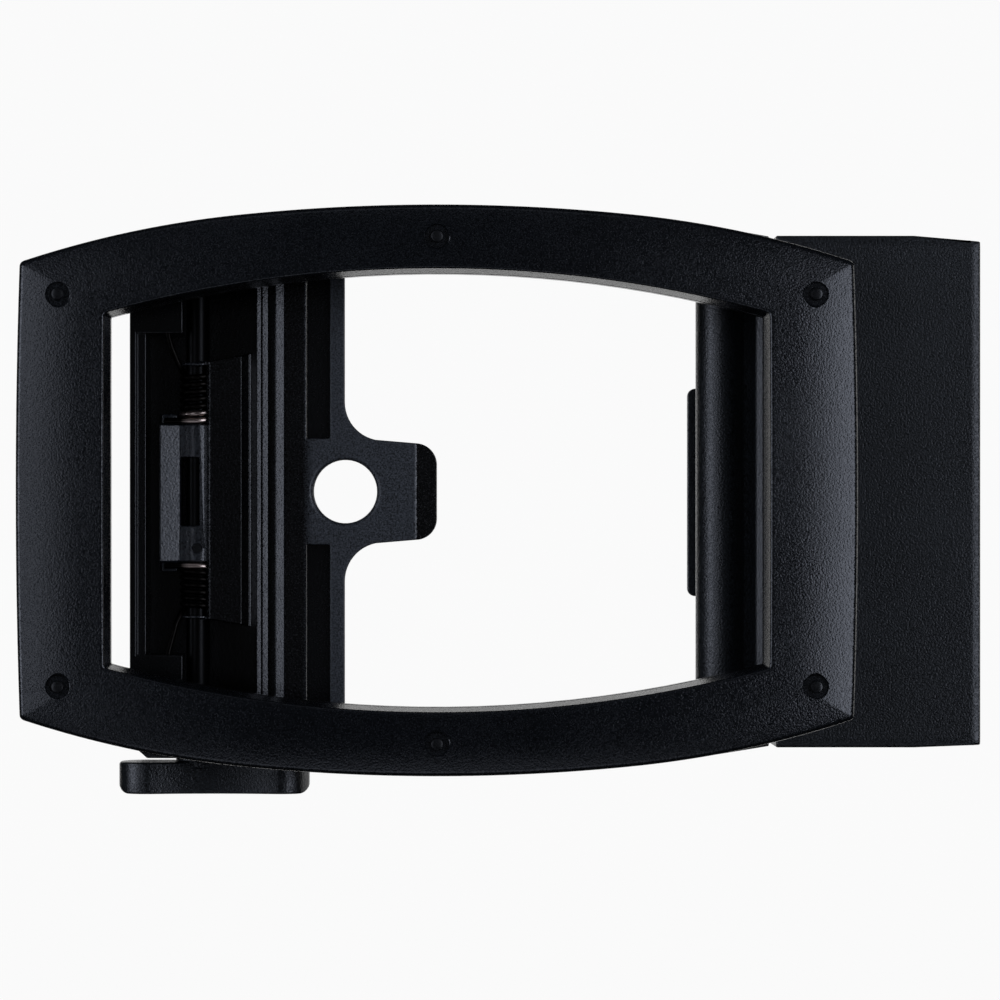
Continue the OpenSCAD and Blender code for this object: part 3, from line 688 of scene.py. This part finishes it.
makeSpring("lowerSpring", 0, "pawl_spring_lower")
makeSpring("upperSpring", 1, "pawl_spring_upper")
print("springs wound")


# Turned pins, along Z

def alongZ(mesh, x, y):
    mesh.transform(Matrix.Translation(Vector((x, y, 0)) * mm) @ Matrix.Rotation(math.radians(90), 4, "X"))
    return mesh


turned = {"sides": 64, "smoothUpTo": 50}
pins = {
    "clampHingePin": {"node": "clamp_hinge_pin", "body": "frame", "x": 22.4, "y": 5.7, "radius": 1.2,
                      "low": -20.0, "high": 19.4, "round": 0.15},
    "doorPin": {"node": "door_pin", "body": "clamp", "x": 39.6, "y": 9.4, "radius": 0.6,
                "low": -19.6, "high": 19.6, "round": 0.15},
}
shaft = {
    "node": "pawl_shaft", "body": "ratchet", "x": -18.6, "y": 4.4, "radius": 0.9, "headRadius": 1.5,
    "low": -20.95, "neck": 19.8, "high": 20.3,
}


def turnedPiece(name, sizes, profile, material, slotName):
    mesh = alongZ(turnedMesh(name, profile, turned["sides"]), sizes["x"], sizes["y"])
    piece = addObject(name, mesh)
    smoothUpTo(mesh, turned["smoothUpTo"])
    paintWith(piece, material)
    return settle(piece, sizes["body"], slotName, sizes["node"])


def makePin(name, pin):
    r, low, high, bevel = pin["radius"], pin["low"], pin["high"], pin["round"]
    middle = bevel * 0.3  # the middle point of a rounded end
    turnedPiece(name, pin, [
        (0, low), (r - bevel, low), (r - middle, low + middle), (r, low + bevel), (r, high - bevel),
        (r - middle, high - middle), (r - bevel, high), (0, high)], brightSteel, "bright_steel")


# The shaft takes the near-black finish that paints in the housing's shade
def makeShaft():
    r, head, low, neck, high = [shaft[key] for key in ("radius", "headRadius", "low", "neck", "high")]
    turnedPiece("pawlShaft", shaft, [
        (0, low), (r, low), (r, neck), (head - 0.05, neck), (head, neck + 0.05), (head, high - 0.2),
        (head - 0.06, high - 0.07), (head - 0.2, high), (0, high)], shaftPaintedShade, "black_steel")


for name, pin in pins.items():
    makePin(name, pin)
makeShaft()
print("pins turned")

everywhere = 99  # past either end of the buckle
roundedPiece("frameAndRails", "chassis", "frame", "chassis_paint", chassisPaint, {"round": 0.08})
roundedPiece("mechanismHousing", "mechanism_housing", "frame", "chassis_paint", chassisPaint, {"round": 0.09})
roundedPiece("backCover", "back_cover", "frame", "chassis_paint", chassisPaint, {"round": 0.15})
roundedPiece("crossBar", "cross_bar", "frame", "chassis_paint", barPaint, {"round": 0.05})
roundedPiece("guidePlate", "guide_plate", "frame", "chassis_paint", platePaint, {
    "round": 0.14, "where": [((-11.5, 3, -everywhere), (-10.4, 4.2, everywhere), 0.0)]})
roundedPiece("pawlBlock", "pawl", "ratchet", "ratchet_paint", ratchetPaint, {"round": 0.12})
roundedPiece("releaseLever", "release_lever", "ratchet", "clamp_paint", clampPaint, {"round": 0.15})
roundedPiece("clampBody", "clamp_body", "clamp", "clamp_paint", clampPaint, {
    "round": 0.12, "segments": 4, "where": [((26, 3.1, -everywhere), (everywhere, 3.6, everywhere), 0.2)],
    "rolled": {"front": 3.2, "width": 0.8, "drop": 0.16, "steps": 6,
               "edges": [(42.15, 0, 1, 0), (0, 19.6, 0, 1), (0, -19.8, 0, -1)]}})
roundedPiece("clampDoor", "clamp_door", "door", "clamp_paint", clampPaint, {"round": 0.12})
for node, material in (("pawl_roll_pin", blackSteel), ("lever_screw", blackSteel)):
    paintWith(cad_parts[node], material)
print("edges rounded")


# Studio: a pale sweep behind and below, soft cards and one camera

studio = {
    "floor": -60, "front": -1200, "curveStart": 450, "curveRadius": 350, "curveSteps": 24,
    "top": 1300, "halfWidth": 1600, "paper": 0.95,
    "aim": (5, 0, 0), "distance": 900,
    "tint": (0.91, 0.98, 1.17),  # a cool daylight on the cards in front
    "cards": {  # azimuth and elevation (0, 0 is the front, and the right is positive), width, height, radiance
        "right": (37, 0, 320, 860, 3.5),
        "left": (-32, 0, 180, 860, 1.5),
        "farLeft": (-62, 0, 420, 700, 2.9),
        "highLeft": (-44, 18, 240, 240, 1.0),
        "front": (3, 0, 110, 200, 0.2),
        "above": (-5, 52, 500, 200, 0.4),
        "below": (-5, -48, 600, 300, 0.7),
        "behind": (180, 0, 1260, 1080, 1.0),
        "behindRight": (115, 0, 500, 500, 1.5),
    },
    "room": 0.015, "paleRoom": 0.9,
}


def makeSweep():
    profile = [(studio["front"], studio["floor"]), (studio["curveStart"], studio["floor"])]
    radius = studio["curveRadius"]
    steps = studio["curveSteps"]
    for i in range(1, steps + 1):
        a = math.pi / 2 * i / steps
        back, up = radius * math.sin(a), radius * (1 - math.cos(a))
        profile.append((studio["curveStart"] + back, studio["floor"] + up))
    profile.append((profile[-1][0], studio["top"]))
    half = studio["halfWidth"]
    points = [(x, y, z) for x in (-half, half) for y, z in profile]
    n = len(profile)
    mesh = meshFrom("sweep", points, [(i, n + i, n + i + 1, i + 1) for i in range(n - 1)])
    mesh.shade_smooth()
    sweep = addObject("sweep", mesh)
    material = bpy.data.materials.new("palePaperSweep")
    material.use_nodes = True
    tree = material.node_tree
    shader = tree.nodes["Principled BSDF"]
    shader.inputs["Base Color"].default_value = toLinear("#383838")
    shader.inputs["Roughness"].default_value = 0.9
    shader.inputs["Specular IOR Level"].default_value = 0.0
    shader.inputs["Emission Color"].default_value = (1, 1, 1, 1)
    shader.inputs["Emission Strength"].default_value = studio["paper"]
    paintWith(sweep, material)
    sweep.visible_diffuse = sweep.visible_glossy = False  # pale to look at: the cards do the lighting


def makeCards():
    aim = Vector(studio["aim"]) * mm
    for name, (azimuth, elevation, width, height, radiance) in studio["cards"].items():
        turn, lift = math.radians(azimuth), math.radians(elevation)
        away = Vector((math.sin(turn) * math.cos(lift), -math.cos(turn) * math.cos(lift), math.sin(lift)))
        light = bpy.data.lights.new(name + "Card", "AREA")
        light.shape = "RECTANGLE"
        light.size, light.size_y = width * mm, height * mm
        light.energy = radiance * math.pi * light.size * light.size_y
        inFront = abs(azimuth) < 90
        light.color = studio["tint"] if inFront else (1, 1, 1)
        card = bpy.data.objects.new(name + "Card", light)
        card.location = aim + away * studio["distance"] * mm
        card.rotation_mode = "QUATERNION"
        card.rotation_quaternion = (-away).to_track_quat("-Z", "Y")
        card.visible_camera = False
        scene.collection.objects.link(card)


def makeRoom():
    world = bpy.data.worlds.new("room")
    world.use_nodes = True
    tree = world.node_tree
    tree.nodes.clear()
    pale = studio["paleRoom"]
    seen = addNode(tree, "ShaderNodeBackground", {}, {"Color": (pale, pale, pale, 1), "Strength": 1.0})
    dim = addNode(tree, "ShaderNodeBackground", {}, {"Color": (1, 1, 1, 1), "Strength": studio["room"]})
    ray = addNode(tree, "ShaderNodeLightPath")
    mixed = addNode(tree, "ShaderNodeMixShader", {}, {
        0: ray.outputs["Is Camera Ray"], 1: dim.outputs["Background"], 2: seen.outputs["Background"]})
    addNode(tree, "ShaderNodeOutputWorld", {}, {"Surface": mixed.outputs["Shader"]})
    scene.world = world


makeSweep()
makeCards()
makeRoom()
scene.view_settings.view_transform = "Standard"

view = {"distance": 300, "height": -3.5, "width": 75, "shift": (0.063, 0.0367), "sensor": 36}
lens = bpy.data.cameras.new("camera")
lens.sensor_width = view["sensor"]
lens.lens = view["sensor"] * view["distance"] / view["width"]
lens.shift_x, lens.shift_y = view["shift"]
lens.clip_start, lens.clip_end = 0.01, 10
camera = bpy.data.objects.new("camera", lens)
camera.location = Vector((0, -bezel["depth"] - view["distance"], view["height"])) * mm
camera.rotation_euler = (math.radians(90), 0, 0)
scene.collection.objects.link(camera)
scene.camera = camera
print("studio set")
